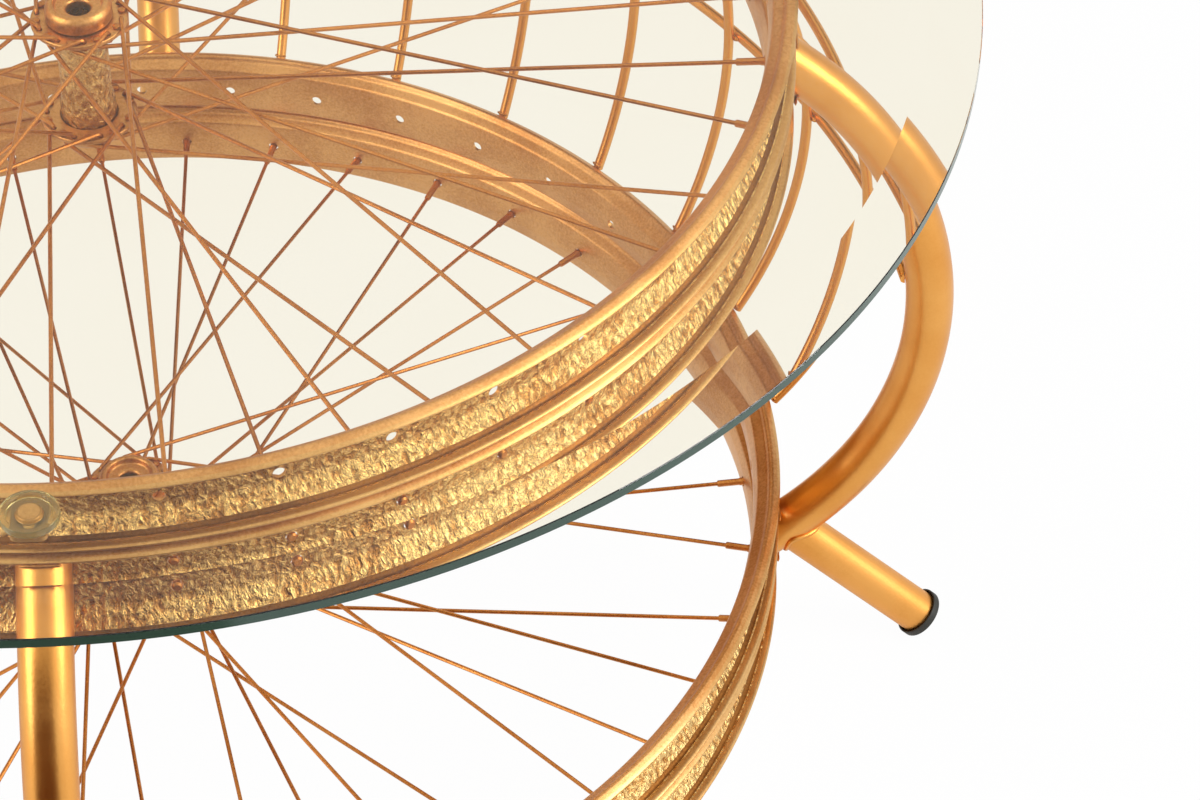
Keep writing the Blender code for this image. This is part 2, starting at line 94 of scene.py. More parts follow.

# %% [markdown]
# ## Satin gold paint
#
# The tubes, rods and hub sides are steel with a sprayed coat of gold bronze paint. The metal flakes
# lie nearly flat, so it mirrors broad soft shapes like a satin metal. The eye sees a fine grain of
# flakes, slow drifts from yellow to copper where the coat is thin, a very fine orange peel, and a few
# brown rubbed spots. The lips are burnished smooth. The folds beside them get a dark brown coat that
# is painted shade: it stands in for the shade that falls in the crease. One function makes all these
# coats, so that they stay one family.

# %% Satin gold paint
def satin_gold(name, light, deep, rubbed, roughness, flake_share=0.7):
    """Make a sprayed gold coat that drifts between two golds and is rubbed brown in spots."""
    finish, tree, shader = new_finish(name, roughness, 1.0)
    place = add_node(tree, "ShaderNodeTexCoord", {}).outputs["Object"]
    drift = add_node(tree, "ShaderNodeTexNoise", {"Scale": per_mm(45), "Detail": 3.0}, [("Vector", place)])
    # Bronze flakes are far below a millimetre, and drawn at 1.3 mm so that the grain shows
    flakes = add_node(tree, "ShaderNodeTexNoise", {"Scale": per_mm(1.3), "Detail": 3.0},
                      [("Vector", place)])
    grain = add_node(tree, "ShaderNodeMath", {"operation": "MULTIPLY_ADD", 1: flake_share},
                     [(0, flakes.outputs["Fac"]), (2, drift.outputs["Fac"])])
    coat = add_node(tree, "ShaderNodeValToRGB", {}, [("Fac", grain.outputs["Value"])])
    # The flakes lift the sum by half their share on average, so the two golds move up with it
    for stop, start, colour in zip(coat.color_ramp.elements, (0.31, 0.65), (deep, light)):
        stop.position, stop.color = start + flake_share / 2, linear(colour)
    wear = add_node(tree, "ShaderNodeTexNoise", {"Scale": per_mm(9), "Detail": 5.0, "Roughness": 0.65},
                    [("Vector", place)])
    spots = add_node(tree, "ShaderNodeMapRange", {"From Min": 0.68, "From Max": 0.78, "To Max": 0.3},
                     [("Value", wear.outputs["Fac"])])
    mixed = add_node(tree, "ShaderNodeMix", {"data_type": "RGBA", 7: linear(rubbed)},
                     [(0, spots.outputs["Result"]), (6, coat.outputs["Color"])])
    tree.links.new(mixed.outputs[2], shader.inputs["Base Color"])
    dull = add_node(tree, "ShaderNodeMapRange", {"To Min": roughness - 0.05, "To Max": roughness + 0.09},
                    [("Value", wear.outputs["Fac"])])
    tree.links.new(dull.outputs["Result"], shader.inputs["Roughness"])
    # Orange peel is about half a millimetre on the real coat, and drawn at 1.5 mm so that it shows
    peel = add_node(tree, "ShaderNodeTexNoise", {"Scale": per_mm(1.5), "Detail": 2.0}, [("Vector", place)])
    bump = add_node(tree, "ShaderNodeBump", {"Strength": 0.12, "Distance": 0.0004},
                    [("Height", peel.outputs["Fac"])])
    tree.links.new(bump.outputs["Normal"], shader.inputs["Normal"])
    return finish


tube_gold = satin_gold("sprayed_gold_on_steel_tube", "#EBAA5A", "#E09A4A", "#B06A2A", 0.31, 0.2)
foot_gold = satin_gold("sprayed_gold_on_foot_tube", "#EBAA5A", "#DE9846", "#B06A2A", 0.42, 0.2)
rim_gold = satin_gold("sprayed_gold_on_pressed_rim", "#E2AC6E", "#C4884C", "#905A2A", 0.38)
wire_gold = satin_gold("sprayed_gold_on_spoke_wire", "#D08C4A", "#B47036", "#8A4C1E", 0.32)
lip_gold = satin_gold("burnished_gold_on_rim_lip", "#DDB074", "#C8965A", "#A87440", 0.3)
weld_gold = satin_gold("sprayed_gold_on_weld", "#DA9C54", "#B87638", "#7A4620", 0.4)
# Painted shade: the dark brown fold coat stands in for the shade that falls in the crease beside each lip
fold_shade_gold = satin_gold("painted_shade_gold_in_fold", "#96622E", "#6E421C", "#4E2C10", 0.45)
gold_coats = (tube_gold, foot_gold, rim_gold, wire_gold, lip_gold, weld_gold, fold_shade_gold)
print("gold coats:", [finish.name for finish in gold_coats])

# %% [markdown]
# ## Crinkled gold in the tyre troughs
#
# The troughs once held tyres. Old rim tape and rust were left in place and gilded over, so the gold
# lies in crinkles across the trough, 2 to 4 mm apart. The crests are painted lighter as highlight and
# the valleys browner as shade. The pattern has to run around the wheel, so it is drawn on the arc
# length and not on X or Y. The hub barrels have the same skin on a much smaller drum.

# %% Crinkled gold
def crinkled_gold(name, radius):
    """Make gold leaf in crinkles round a drum of this radius, with painted highlight on crests and painted
    shade in valleys.
    """
    finish, tree, shader = new_finish(name, 0.3, 1.0)
    place = add_node(tree, "ShaderNodeTexCoord", {}).outputs["Object"]
    split = add_node(tree, "ShaderNodeSeparateXYZ", {}, [("Vector", place)])
    turn = add_node(tree, "ShaderNodeMath", {"operation": "ARCTAN2"},
                    [(0, split.outputs["Y"]), (1, split.outputs["X"])])
    along = add_node(tree, "ShaderNodeMath", {"operation": "MULTIPLY", 1: radius},
                     [(0, turn.outputs["Value"])])
    # Crinkles are a little longer across the drum than they are wide
    across = add_node(tree, "ShaderNodeMath", {"operation": "MULTIPLY", 1: 0.8}, [(0, split.outputs["Z"])])
    sheet = add_node(tree, "ShaderNodeCombineXYZ", {},
                     [("X", along.outputs["Value"]), ("Z", across.outputs["Value"])])
    grit = add_node(tree, "ShaderNodeTexNoise",
                    {"Scale": per_mm(2.6), "Detail": 4.0, "Roughness": 0.55, "Distortion": 0.6},
                    [("Vector", sheet.outputs["Vector"])])
    # The folds wander, so their cells are laid out on a sheet that the grit has shifted a little
    wander = add_node(tree, "ShaderNodeVectorMath", {"operation": "MULTIPLY_ADD", 1: (0.0016, 0.0, 0.0016)},
                      [(0, grit.outputs["Color"]), (2, sheet.outputs["Vector"])])
    folds = add_node(tree, "ShaderNodeTexVoronoi",
                     {"feature": "SMOOTH_F1", "Smoothness": 0.4, "Scale": per_mm(3.4)},
                     [("Vector", wander.outputs["Vector"])])
    crinkle = add_node(tree, "ShaderNodeMath", {"operation": "MULTIPLY_ADD", 1: 0.3},
                       [(0, folds.outputs["Distance"]), (2, grit.outputs["Fac"])])
    blotch = add_node(tree, "ShaderNodeTexNoise", {"Scale": per_mm(30), "Detail": 4.0},
                      [("Vector", sheet.outputs["Vector"])])
    depth = add_node(tree, "ShaderNodeMath", {"operation": "MULTIPLY_ADD", 1: 0.6},
                     [(0, blotch.outputs["Fac"]), (2, crinkle.outputs["Value"])])
    # Random blotches drift the tone; the crinkle height paints crests lighter as highlight and valleys
    # browner as shade
    leaf = add_node(tree, "ShaderNodeValToRGB", {}, [("Fac", depth.outputs["Value"])])
    leaf.color_ramp.elements.new(0.82)
    starts, golds = (0.66, 0.82, 1.0), ("#9A6632", "#C48E4E", "#E6C07E")
    for stop, start, colour in zip(leaf.color_ramp.elements, starts, golds):
        stop.position, stop.color = start, linear(colour)
    tree.links.new(leaf.outputs["Color"], shader.inputs["Base Color"])
    dull = add_node(tree, "ShaderNodeMapRange",
                    {"From Min": 0.4, "From Max": 0.85, "To Min": 0.3, "To Max": 0.16},
                    [("Value", crinkle.outputs["Value"])])
    tree.links.new(dull.outputs["Result"], shader.inputs["Roughness"])
    bump = add_node(tree, "ShaderNodeBump", {"Strength": 1.0, "Distance": 0.0020},
                    [("Height", crinkle.outputs["Value"])])
    tree.links.new(bump.outputs["Normal"], shader.inputs["Normal"])
    return finish


TROUGH_REACH, BARREL_REACH = 0.314, 0.0125
leaf_gold = crinkled_gold("gold_leaf_over_old_rim_tape", TROUGH_REACH)
barrel_gold = crinkled_gold("gold_leaf_round_hub_barrel", BARREL_REACH)
print("crinkled finishes:", leaf_gold.name, barrel_gold.name)

# %% [markdown]
# ## Rubber, vinyl, brown steel and glass
#
# The foot caps are moulded black rubber: matt, a little grey with dust. The pads are clear soft vinyl
# that has yellowed. The pad tabs have a thin light brown paint. The glass is polished float glass. Its
# faces are clear with a faint cream cast, and its ground edge is dark green, because light that
# reaches the edge has run a long way through the iron-tinted glass.

# %% Rubber, vinyl and brown steel
def speckled(name, light, dark, roughness, metallic, size):
    """Make a plain moulded or painted finish with a fine two-tone speckle of the given size."""
    finish, tree, shader = new_finish(name, roughness, metallic)
    place = add_node(tree, "ShaderNodeTexCoord", {}).outputs["Object"]
    grain = add_node(tree, "ShaderNodeTexNoise", {"Scale": per_mm(size), "Detail": 5.0},
                     [("Vector", place)])
    tone = add_node(tree, "ShaderNodeMix", {"data_type": "RGBA", 6: linear(dark), 7: linear(light)},
                    [(0, grain.outputs["Fac"])])
    tree.links.new(tone.outputs[2], shader.inputs["Base Color"])
    bump = add_node(tree, "ShaderNodeBump", {"Strength": 0.3, "Distance": 0.0003},
                    [("Height", grain.outputs["Fac"])])
    tree.links.new(bump.outputs["Normal"], shader.inputs["Normal"])
    return finish, shader


cap_rubber, _ = speckled("moulded_black_rubber", "#34342C", "#1A1A17", 0.55, 0.0, 2.0)
tab_brown, _ = speckled("brown_paint_on_steel", "#C89A5A", "#A87A44", 0.45, 0.7, 3.0)
pad_vinyl, pad_shader = speckled("yellowed_clear_vinyl", "#F2E4A6", "#E2D08A", 0.12, 0.0, 5.0)
# Soft vinyl passes most of the light and bends it about as much as glass does
pad_shader.inputs["Transmission Weight"].default_value = 0.9
pad_shader.inputs["IOR"].default_value = 1.53
print("plain finishes:", cap_rubber.name, tab_brown.name, pad_vinyl.name)

# %% Glass
def float_glass(name, tint, roughness, transmission, ripple):
    """Make polished glass with a very faint rolled ripple of the given strength."""
    finish, tree, shader = new_finish(name, roughness, 0.0)
    shader.inputs["Transmission Weight"].default_value = transmission
    shader.inputs["IOR"].default_value = 1.52
    place = add_node(tree, "ShaderNodeTexCoord", {}).outputs["Object"]
    cast = add_node(tree, "ShaderNodeTexNoise", {"Scale": per_mm(120), "Detail": 2.0}, [("Vector", place)])
    tone = add_node(tree, "ShaderNodeMix", {"data_type": "RGBA", 6: linear(tint[0]), 7: linear(tint[1])},
                    [(0, cast.outputs["Fac"])])
    tree.links.new(tone.outputs[2], shader.inputs["Base Color"])
    bump = add_node(tree, "ShaderNodeBump", {"Strength": ripple, "Distance": 0.0002},
                    [("Height", cast.outputs["Fac"])])
    tree.links.new(bump.outputs["Normal"], shader.inputs["Normal"])
    return finish


glass_face = float_glass("polished_float_glass", ("#FEFBEE", "#FCF7E6"), 0.0, 1.0, 0.02)
glass_edge = float_glass("ground_green_glass_edge", ("#2C4A3C", "#47695A"), 0.12, 0.35, 0.05)
print("glass finishes:", glass_face.name, glass_edge.name)

# %% [markdown]
# ## Shaping helpers
#
# Most of the table is either spun (rims, hubs, caps, pads, glass) or drawn along a line (tubes, rods,
# wire, weld beads). Two helpers cover both: one spins a profile about the wheel's axis, the other
# sweeps a round section along a path. A third rounds the corners of a profile, because pressed
# sheet and moulded rubber never have a knife edge. Holes are made as on a bench drill, with straight
# bits that are cut away from the blank.

# %% Points and rounded corners
def polar(radius, angle, height):
    """Return the point at a radius, an angle in radians and a height."""
    return Vector((radius * math.cos(angle), radius * math.sin(angle), height))


def sideways(angle):
    """Return the level direction that runs round the wheel at an angle."""
    return Vector((-math.sin(angle), math.cos(angle), 0))


def rounded(corners, reach, steps=4, closed=False):
    """Replace each corner of a line by a small curve that starts this far from it."""
    corners = [Vector(corner) for corner in corners]
    count = len(corners)
    line = []
    for index, corner in enumerate(corners):
        if not closed and index in (0, count - 1):
            line.append(corner)
            continue
        ends = []
        for other in (corners[index - 1], corners[(index + 1) % count]):
            step = other - corner
            ends.append(corner + step.normalized() * min(reach, step.length * 0.45))
        for step in range(steps + 1):
            t = step / steps
            line.append(ends[0] * (1 - t) ** 2 + corner * 2 * t * (1 - t) + ends[1] * t ** 2)
    return line


print("a rounded square corner has", len(rounded([(0, 0), (1, 0), (1, 1)], 0.1)), "points")

# %% Spinning and sweeping
MERGE_DISTANCE = 1e-7


def spun(profile, segments):
    """Spin a closed profile of (radius, height) points about Z and return it as a bmesh."""
    shape = bmesh.new()
    rings = []
    for segment in range(segments):
        angle = math.tau * segment / segments
        rings.append([shape.verts.new(polar(radius, angle, height)) for radius, height in profile])
    for one, two in zip(rings, rings[1:] + rings[:1]):
        for index in range(len(profile)):
            after = (index + 1) % len(profile)
            shape.faces.new((one[index], two[index], two[after], one[after]))
    bmesh.ops.remove_doubles(shape, verts=shape.verts, dist=MERGE_DISTANCE)
    bmesh.ops.dissolve_degenerate(shape, edges=shape.edges, dist=MERGE_DISTANCE)
    bmesh.ops.recalc_face_normals(shape, faces=shape.faces)
    return shape


def as_mesh(shape):
    """Turn a bmesh into a mesh."""
    mesh = bpy.data.meshes.new("shape")
    shape.to_mesh(mesh)
    shape.free()
    return mesh


def swept(paths, radius, roundness, swells=None):
    """Sweep a round section along each path; swells scale its radius point by point."""
    curve = bpy.data.curves.new("route", "CURVE")
    curve.dimensions = "3D"
    curve.bevel_depth = radius
    curve.bevel_resolution = roundness
    curve.use_fill_caps = True
    for path in paths:
        spline = curve.splines.new("POLY")
        spline.points.add(len(path) - 1)
        for index, (point, spot) in enumerate(zip(spline.points, path)):
            point.co = (*spot, 1.0)
            point.radius = swells[index] if swells else 1.0
    guide = bpy.data.objects.new("route", curve)
    shape = bmesh.new()
    shape.from_mesh(guide.to_mesh())
    guide.to_mesh_clear()
    bpy.data.objects.remove(guide)
    bmesh.ops.remove_doubles(shape, verts=shape.verts, dist=MERGE_DISTANCE)
    bmesh.ops.recalc_face_normals(shape, faces=shape.faces)
    return as_mesh(shape)


sample = as_mesh(spun([(0.01, 0.0), (0.02, 0.0), (0.02, 0.01)], 12))
print("a small spun ring has", len(sample.polygons), "faces")
bpy.data.meshes.remove(sample)

# %% Drilling, cutting and showing a piece
BIT_LENGTH = 0.02


def drill_bits(places, radius, sides, length=BIT_LENGTH):
    """Return one mesh of straight drill bits, each standing at a place."""
    bits = bmesh.new()
    for place in places:
        bmesh.ops.create_cone(bits, segments=sides, radius1=radius, radius2=radius, depth=length,
                              cap_ends=True, matrix=place)
    return as_mesh(bits)


def carved(mesh, *cutters):
    """Cut a mesh by other meshes and return the result."""
    piece = bpy.data.objects.new("blank", mesh)
    bpy.context.scene.collection.objects.link(piece)
    tools = []
    for cutter in cutters:
        tool = bpy.data.objects.new("tool", cutter)
        bpy.context.scene.collection.objects.link(tool)
        modifier = piece.modifiers.new("cut", "BOOLEAN")
        modifier.operation, modifier.solver, modifier.object = "DIFFERENCE", "MANIFOLD", tool
        tools.append(tool)
    result = bpy.data.meshes.new_from_object(piece.evaluated_get(bpy.context.evaluated_depsgraph_get()))
    for spent in (piece, *tools):
        bpy.data.objects.remove(spent)
    return result


def add_piece(name, mesh, finishes, nodes=(), body="frame", crease=38):
    """Show a finished mesh as one piece of the table, in place of the solids it stands for."""
    mesh.name = name
    for index, finish in enumerate(finishes):
        if index < len(mesh.materials):
            mesh.materials[index] = finish
        else:
            mesh.materials.append(finish)
    mesh.shade_smooth()
    mesh.set_sharp_from_angle(angle=math.radians(crease))
    piece = bpy.data.objects.new(name, mesh)
    bpy.context.scene.collection.objects.link(piece)
    if nodes:
        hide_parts(*nodes)
    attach(piece, body)
    return piece


print("solids that wait for a finer piece:", len(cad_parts))

# %% [markdown]
# ## The rims
#
# Each rim is one strip of steel, rolled to a trough for the tyre with a lip and a rolled bead along
# each edge, then bent round and pierced for forty spokes. Spinning its section gives the real shape.
# The hub side, the taped trough, the lips and the folds between tape and lip, painted dark brown
# as shade, are separate finishes on one mesh, chosen by where a face lies and which way it looks.
# The old tape fills the trough up to the folds, and it is truly uneven: a small push in and out along
# a smooth noise.

# %% Sizes of the rims
LIP_RADIUS, LIP_HALF, RIM_HALF = 0.3225, 0.0155, 0.0185
BEAD_RADIUS, BED_RADIUS, BED_HALF, SHEET = 0.3165, 0.3110, 0.0045, 0.0016
# The fold's place and half height, and how far the band of painted shade reaches from it
FOLD_RADIUS, FOLD_HALF, FOLD_SHADE_REACH = 0.3168, 0.0132, 0.0012
PRESS_ROUNDING, SECTION_STEP = 0.0012, 0.0025
TAPE_PUSH, TAPE_LUMPS_PER_M = 0.00020, 220
SPOKE_HOLES, HOLE_RADIUS, HOLE_SIDES = 40, 0.0027, 20
HOLE_STEP = math.tau / SPOKE_HOLES
LOWER_WHEEL, UPPER_WHEEL, RIM_PITCH = 0.0745, 0.3707, 0.0373
RIMS = {
    "lower_laced_rim": (LOWER_WHEEL, 15.3),
    "lower_bare_rim": (LOWER_WHEEL + RIM_PITCH, 1.4),
    "upper_laced_rim": (UPPER_WHEEL, 9.5),
    "upper_bare_rim": (UPPER_WHEEL + RIM_PITCH, 8.9),
}
RIM_SEGMENTS = 480
RIM_FINISHES = (rim_gold, leaf_gold, lip_gold, fold_shade_gold)
HUB_SIDE, TROUGH, LIP, FOLD_SHADE = range(len(RIM_FINISHES))


def rim_profile():
    """Return the rim's section as a closed line of (radius, height) with pressed-sheet rounding."""
    hub_side = BED_RADIUS - SHEET
    half = [
        (hub_side, BED_HALF),
        (BED_RADIUS, RIM_HALF - 3.5 * SHEET),
        (BEAD_RADIUS - 0.0006, RIM_HALF - 1.7 * SHEET),
        (BEAD_RADIUS + 0.2 * SHEET, RIM_HALF - 0.4 * SHEET),
        (BEAD_RADIUS + 1.1 * SHEET, RIM_HALF),
        (BEAD_RADIUS + 2.3 * SHEET, RIM_HALF - 0.7 * SHEET),
        (LIP_RADIUS - 0.0008, LIP_HALF + 0.0009),
        (LIP_RADIUS, LIP_HALF),
        (LIP_RADIUS - 0.0012, LIP_HALF - 0.0010),
        (FOLD_RADIUS + 0.0010, FOLD_HALF + 0.0006),
        (FOLD_RADIUS, FOLD_HALF),
        (BED_RADIUS, BED_HALF),
    ]
    mirror = [(radius, -height) for radius, height in reversed(half)]
    line = rounded(half + mirror, PRESS_ROUNDING, 3, closed=True)
    fine = []
    for one, two in zip(line, line[1:] + line[:1]):
        steps = max(1, round((two - one).length / SECTION_STEP))
        fine += [tuple(one.lerp(two, step / steps)) for step in range(steps)]
    return fine


def rim_finish(face):
    """Return which finish a face of a rim has, from its place and the way it looks."""
    spot = face.calc_center_median()
    radius = math.hypot(spot.x, spot.y)
    outward = (face.normal.x * spot.x + face.normal.y * spot.y) / radius
    # What looks outward between the lips is painted fold shade, lip or trough; the rest is the hub side and
    # its walls
    if abs(spot.z) < LIP_HALF and radius > BED_RADIUS - 0.0006 and outward > 0.02:
        # A narrow band on each side of a fold gets the dark coat of painted shade
        if abs(abs(spot.z) - FOLD_HALF) < FOLD_SHADE_REACH and radius < FOLD_RADIUS + FOLD_SHADE_REACH:
            return FOLD_SHADE
        return LIP if radius > LIP_RADIUS - 0.0030 else TROUGH
    return LIP if radius > LIP_RADIUS - SHEET else HUB_SIDE


print("rim section points:", len(rim_profile()))

# %% Spin and pierce the rims
def spun_rim(height, turn):
    """Spin one rim, roughen its trough and pierce its spoke holes."""
    shape = spun(rim_profile(), RIM_SEGMENTS)
    for face in shape.faces:
        face.material_index = rim_finish(face)
    for vert in shape.verts:
        if all(face.material_index == TROUGH for face in vert.link_faces):
            # The wheel's height shifts the noise, so that no two rims have the same lumps
            rough = noise.noise(vert.co * TAPE_LUMPS_PER_M + Vector((0, 0, height * 90)))
            push = 1 + TAPE_PUSH * rough / vert.co.xy.length
            vert.co = Vector((vert.co.x * push, vert.co.y * push, vert.co.z))
    mesh = as_mesh(shape)
    for finish in RIM_FINISHES:
        mesh.materials.append(finish)
    places = []
    for hole in range(SPOKE_HOLES):
        angle = math.radians(turn) + hole * HOLE_STEP
        places.append(Matrix.Translation(polar(BED_RADIUS, angle, 0)) @ Matrix.Rotation(angle, 4, "Z")
                      @ Matrix.Rotation(math.pi / 2, 4, "Y"))
    pierced = carved(mesh, drill_bits(places, HOLE_RADIUS, HOLE_SIDES))
    pierced.transform(Matrix.Translation((0, 0, height)))
    return pierced


for node, (height, turn) in RIMS.items():
    mesh = spun_rim(height, turn)
    add_piece(f"{node}_pressed", mesh, RIM_FINISHES, [node])
    print(node, "faces:", len(mesh.polygons))

# %% [markdown]
# ## The hubs
#
# A hub is a turned barrel with a pressed flange at each end and a bearing cup on each mouth. The cup
# has a rounded rim and, a few millimetres down, a ledge for the balls. The axle is gone, so one sees
# straight down the bore. All of it is spun about the wheel's axis, and the flanges are then drilled
# for twenty spokes each. The barrel wears the crinkled leaf, the flanges and cups the satin coat.

# %% Hub flanges
FLANGE_SPACING, FLANGE_RADIUS, FLANGE_HALF, SPOKE_CIRCLE = 0.0550, 0.0220, 0.0012, 0.0193
FLANGE_HOLE_RADIUS, FLANGE_HOLE_SIDES, FLANGE_BIT = 0.0013, 12, 0.01
BARREL_RADIUS, HUB_ROUNDING, HUB_SEGMENTS, CROSSINGS = 0.01275, 0.0008, 72, 4
GAP = 0.0003


def hub_angle(hole, turn):
    """Return where on its flange a spoke of this rim hole starts, and which way it leads."""
    lead = 1 if hole // 2 % 2 else -1
    return math.radians(turn) + hole * HOLE_STEP + lead * 2 * CROSSINGS * HOLE_STEP, lead


def flange_holes(side):
    """Return the rim holes whose spokes start at the flange on this side: every other one."""
    return range(0 if side > 0 else 1, SPOKE_HOLES, 2)


def flange_mesh(side, turn, centre):
    """Spin a flange with rounded edges and drill its spoke holes."""
    bore = BARREL_RADIUS + GAP
    profile = rounded([(bore, FLANGE_HALF), (FLANGE_RADIUS, FLANGE_HALF), (FLANGE_RADIUS, -FLANGE_HALF),
                       (bore, -FLANGE_HALF)], HUB_ROUNDING, 3, closed=True)
    angles = [hub_angle(hole, turn)[0] for hole in flange_holes(side)]
    places = [Matrix.Translation(polar(SPOKE_CIRCLE, angle, 0)) for angle in angles]
    bits = drill_bits(places, FLANGE_HOLE_RADIUS, FLANGE_HOLE_SIDES, FLANGE_BIT)
    mesh = carved(as_mesh(spun(profile, HUB_SEGMENTS)), bits)
    mesh.transform(Matrix.Translation((0, 0, centre)))
    return mesh


print("spokes on each flange:", len(flange_holes(1)))

# %% Hub barrels and cups
HUB_RISE, HUB_HALF = 0.0085, FLANGE_SPACING / 2 + FLANGE_HALF
BARREL_BORE, BARREL_COLLAR, BARREL_TAPER, BARREL_WAIST = 0.00975, 0.009, 0.015, 0.0012
CUP_RADIUS, CUP_HEIGHT, CUP_HOLE, CUP_LEDGE = 0.0152, 0.0085, 0.0054, 0.0032
CUP_LIP, CUP_SHOULDER, CUP_ROUNDING = 0.0040, 0.0026, 0.0012


def barrel_mesh():
    """Spin a barrel that is a little thinner between its two collars."""
    half = [(BARREL_BORE, HUB_HALF), (BARREL_RADIUS, HUB_HALF), (BARREL_RADIUS, HUB_HALF - BARREL_COLLAR),
            (BARREL_RADIUS - BARREL_WAIST, HUB_HALF - BARREL_TAPER)]
    mirror = [(radius, -height) for radius, height in reversed(half)]
    return as_mesh(spun(rounded(half + mirror, HUB_ROUNDING, 3, closed=True), HUB_SEGMENTS))


def cup_mesh():
    """Spin a bearing cup that stands on its mouth, with a rounded rim and a ledge inside."""
    ledge = CUP_HEIGHT - CUP_LEDGE
    ring = [(CUP_HOLE, 0), (CUP_HOLE, ledge - CUP_ROUNDING), (CUP_HOLE + CUP_ROUNDING, ledge),
            (CUP_RADIUS - CUP_LIP - 0.0006, ledge), (CUP_RADIUS - CUP_LIP, CUP_HEIGHT),
            (CUP_RADIUS - 0.0018, CUP_HEIGHT), (CUP_RADIUS, CUP_HEIGHT - CUP_SHOULDER), (CUP_RADIUS, 0)]
    return as_mesh(spun(rounded(ring, CUP_ROUNDING, 4, closed=True), HUB_SEGMENTS))


def add_hub(level, height):
    """Add a hub's barrel, flanges and cups; the spokes follow below."""
    turn = RIMS[f"{level}_laced_rim"][1]
    centre = height + HUB_RISE
    barrel = barrel_mesh()
    barrel.transform(Matrix.Translation((0, 0, centre)))
    add_piece(f"{level}_hub_barrel_turned", barrel, (barrel_gold,), [f"{level}_hub_barrel"])
    for side, end in ((1, "top"), (-1, "bottom")):
        flange_height = centre + side * FLANGE_SPACING / 2
        add_piece(f"{level}_{end}_flange_pressed", flange_mesh(side, turn, flange_height), (rim_gold,),
                  [f"{level}_{end}_flange_spokes"])
        cup = cup_mesh()
        flip = Matrix.Rotation(0 if side > 0 else math.pi, 4, "X")
        cup.transform(Matrix.Translation((0, 0, centre + side * (HUB_HALF + GAP))) @ flip)
        add_piece(f"{level}_{end}_cup_turned", cup, (rim_gold,), [f"{level}_{end}_cup"])
    print(level, "hub centre at", round(centre, 4))


add_hub("lower", LOWER_WHEEL)
add_hub("upper", UPPER_WHEEL)

# %% [markdown]
# ## Spokes and nipples
#
# A spoke is a 2 mm wire with a flat head and a sharp elbow. It hangs in its flange hole by the head,
# runs off at a tangent, and is pulled tight by a long nipple that sticks through the rim. Neighbours
# pass on opposite faces of the flange, so every other hole shows a head and the rest show an elbow.

# %% Spokes and nipples
SPOKE_RADIUS, SPOKE_LIFT, HEAD_RADIUS, ELBOW_REACH = 0.0010, 0.0009, 0.0019, 0.0022
NIPPLE_RADIUS, NIPPLE_LENGTH, NIPPLE_END = 0.0020, 0.0140, 0.0020
STAGGER = FLANGE_HALF + 0.0009 + SPOKE_LIFT
# Steps along a head and, from the rim inward, along a nipple, each with its share of the full radius
HEAD_STEPS = {-0.0006: 0.55, -0.0002: 0.95, 0.0006: 1.0, 0.0010: 0.6}
NIPPLE_STEPS = {-NIPPLE_LENGTH: 0.7, -NIPPLE_LENGTH + 0.0006: 0.86, -0.0030: 0.86, -0.0022: 1.0, 0.0: 1.0,
                0.0012: 1.15, NIPPLE_END: 0.8}


def spoke_ends(hole, side, level):
    """Return a spoke's head, elbow and rim end, and the way it leads."""
    height, turn = RIMS[f"{level}_laced_rim"]
    flange_height = height + HUB_RISE + side * FLANGE_SPACING / 2
    angle, lead = hub_angle(hole, turn)
    rim_end = polar(BED_RADIUS - SHEET / 2, math.radians(turn) + hole * HOLE_STEP, height)
    head = polar(SPOKE_CIRCLE, angle, flange_height - lead * (FLANGE_HALF + 0.0010))
    elbow = polar(SPOKE_CIRCLE, angle, flange_height + lead * STAGGER)
    return head, elbow, rim_end, lead


def add_spokes(level, side, end):
    """Add the spokes of one flange as wire, with their heads and nipples."""
    wires, heads, nipples = [], [], []
    for hole in flange_holes(side):
        head, elbow, rim_end, lead = spoke_ends(hole, side, level)
        run, up = (rim_end - elbow).normalized(), Vector((0, 0, lead))
        # The wire ends inside its nipple
        wires.append(rounded([head, elbow, rim_end - run * NIPPLE_LENGTH * 0.8], ELBOW_REACH, 5))
        heads.append([head + up * step for step in HEAD_STEPS])
        nipples.append([rim_end + run * step for step in NIPPLE_STEPS])
    node = f"{level}_{end}_flange_spokes"
    meshes = {
        "wires": swept(wires, SPOKE_RADIUS, 2),
        "heads": swept(heads, HEAD_RADIUS, 2, list(HEAD_STEPS.values())),
        "nipples": swept(nipples, NIPPLE_RADIUS, 2, list(NIPPLE_STEPS.values())),
    }
    for part, mesh in meshes.items():
        add_piece(f"{level}_{end}_spoke_{part}", mesh, (wire_gold,), [node])
    print(node, "spokes:", len(wires))


for level in ("lower", "upper"):
    for side, end in ((1, "top"), (-1, "bottom")):
        add_spokes(level, side, end)

# %% [markdown]
# ## Legs, feet and caps
#
# Each leg is one length of 23 mm tube, bent to an arc from rim to rim and closed into the troughs. A
# straight foot is welded under its lower end and wears a push-on rubber cap. The arc is swept along
# its axis and then cut to the rims, just as a welder grinds a tube end to fit.

# %% Leg arcs
LEG_RADIUS, LEG_SEAT, LEG_BULGE = 0.0115, 0.3220, 0.0703
LEG_MIDDLE = (LOWER_WHEEL + UPPER_WHEEL) / 2
LEG_ANGLES = {name: turn * math.pi / 2 for turn, name in enumerate(("right", "rear", "left", "front"))}
LEG_OVERRUN, LEG_ROUNDNESS, LEG_STEPS = 0.022, 11, 32
HALF_RISE = (UPPER_WHEEL - LOWER_WHEEL) / 2
LEG_ARC = (HALF_RISE ** 2 + LEG_BULGE ** 2) / (2 * LEG_BULGE)
LEG_END = 2 * math.atan(LEG_BULGE / HALF_RISE)


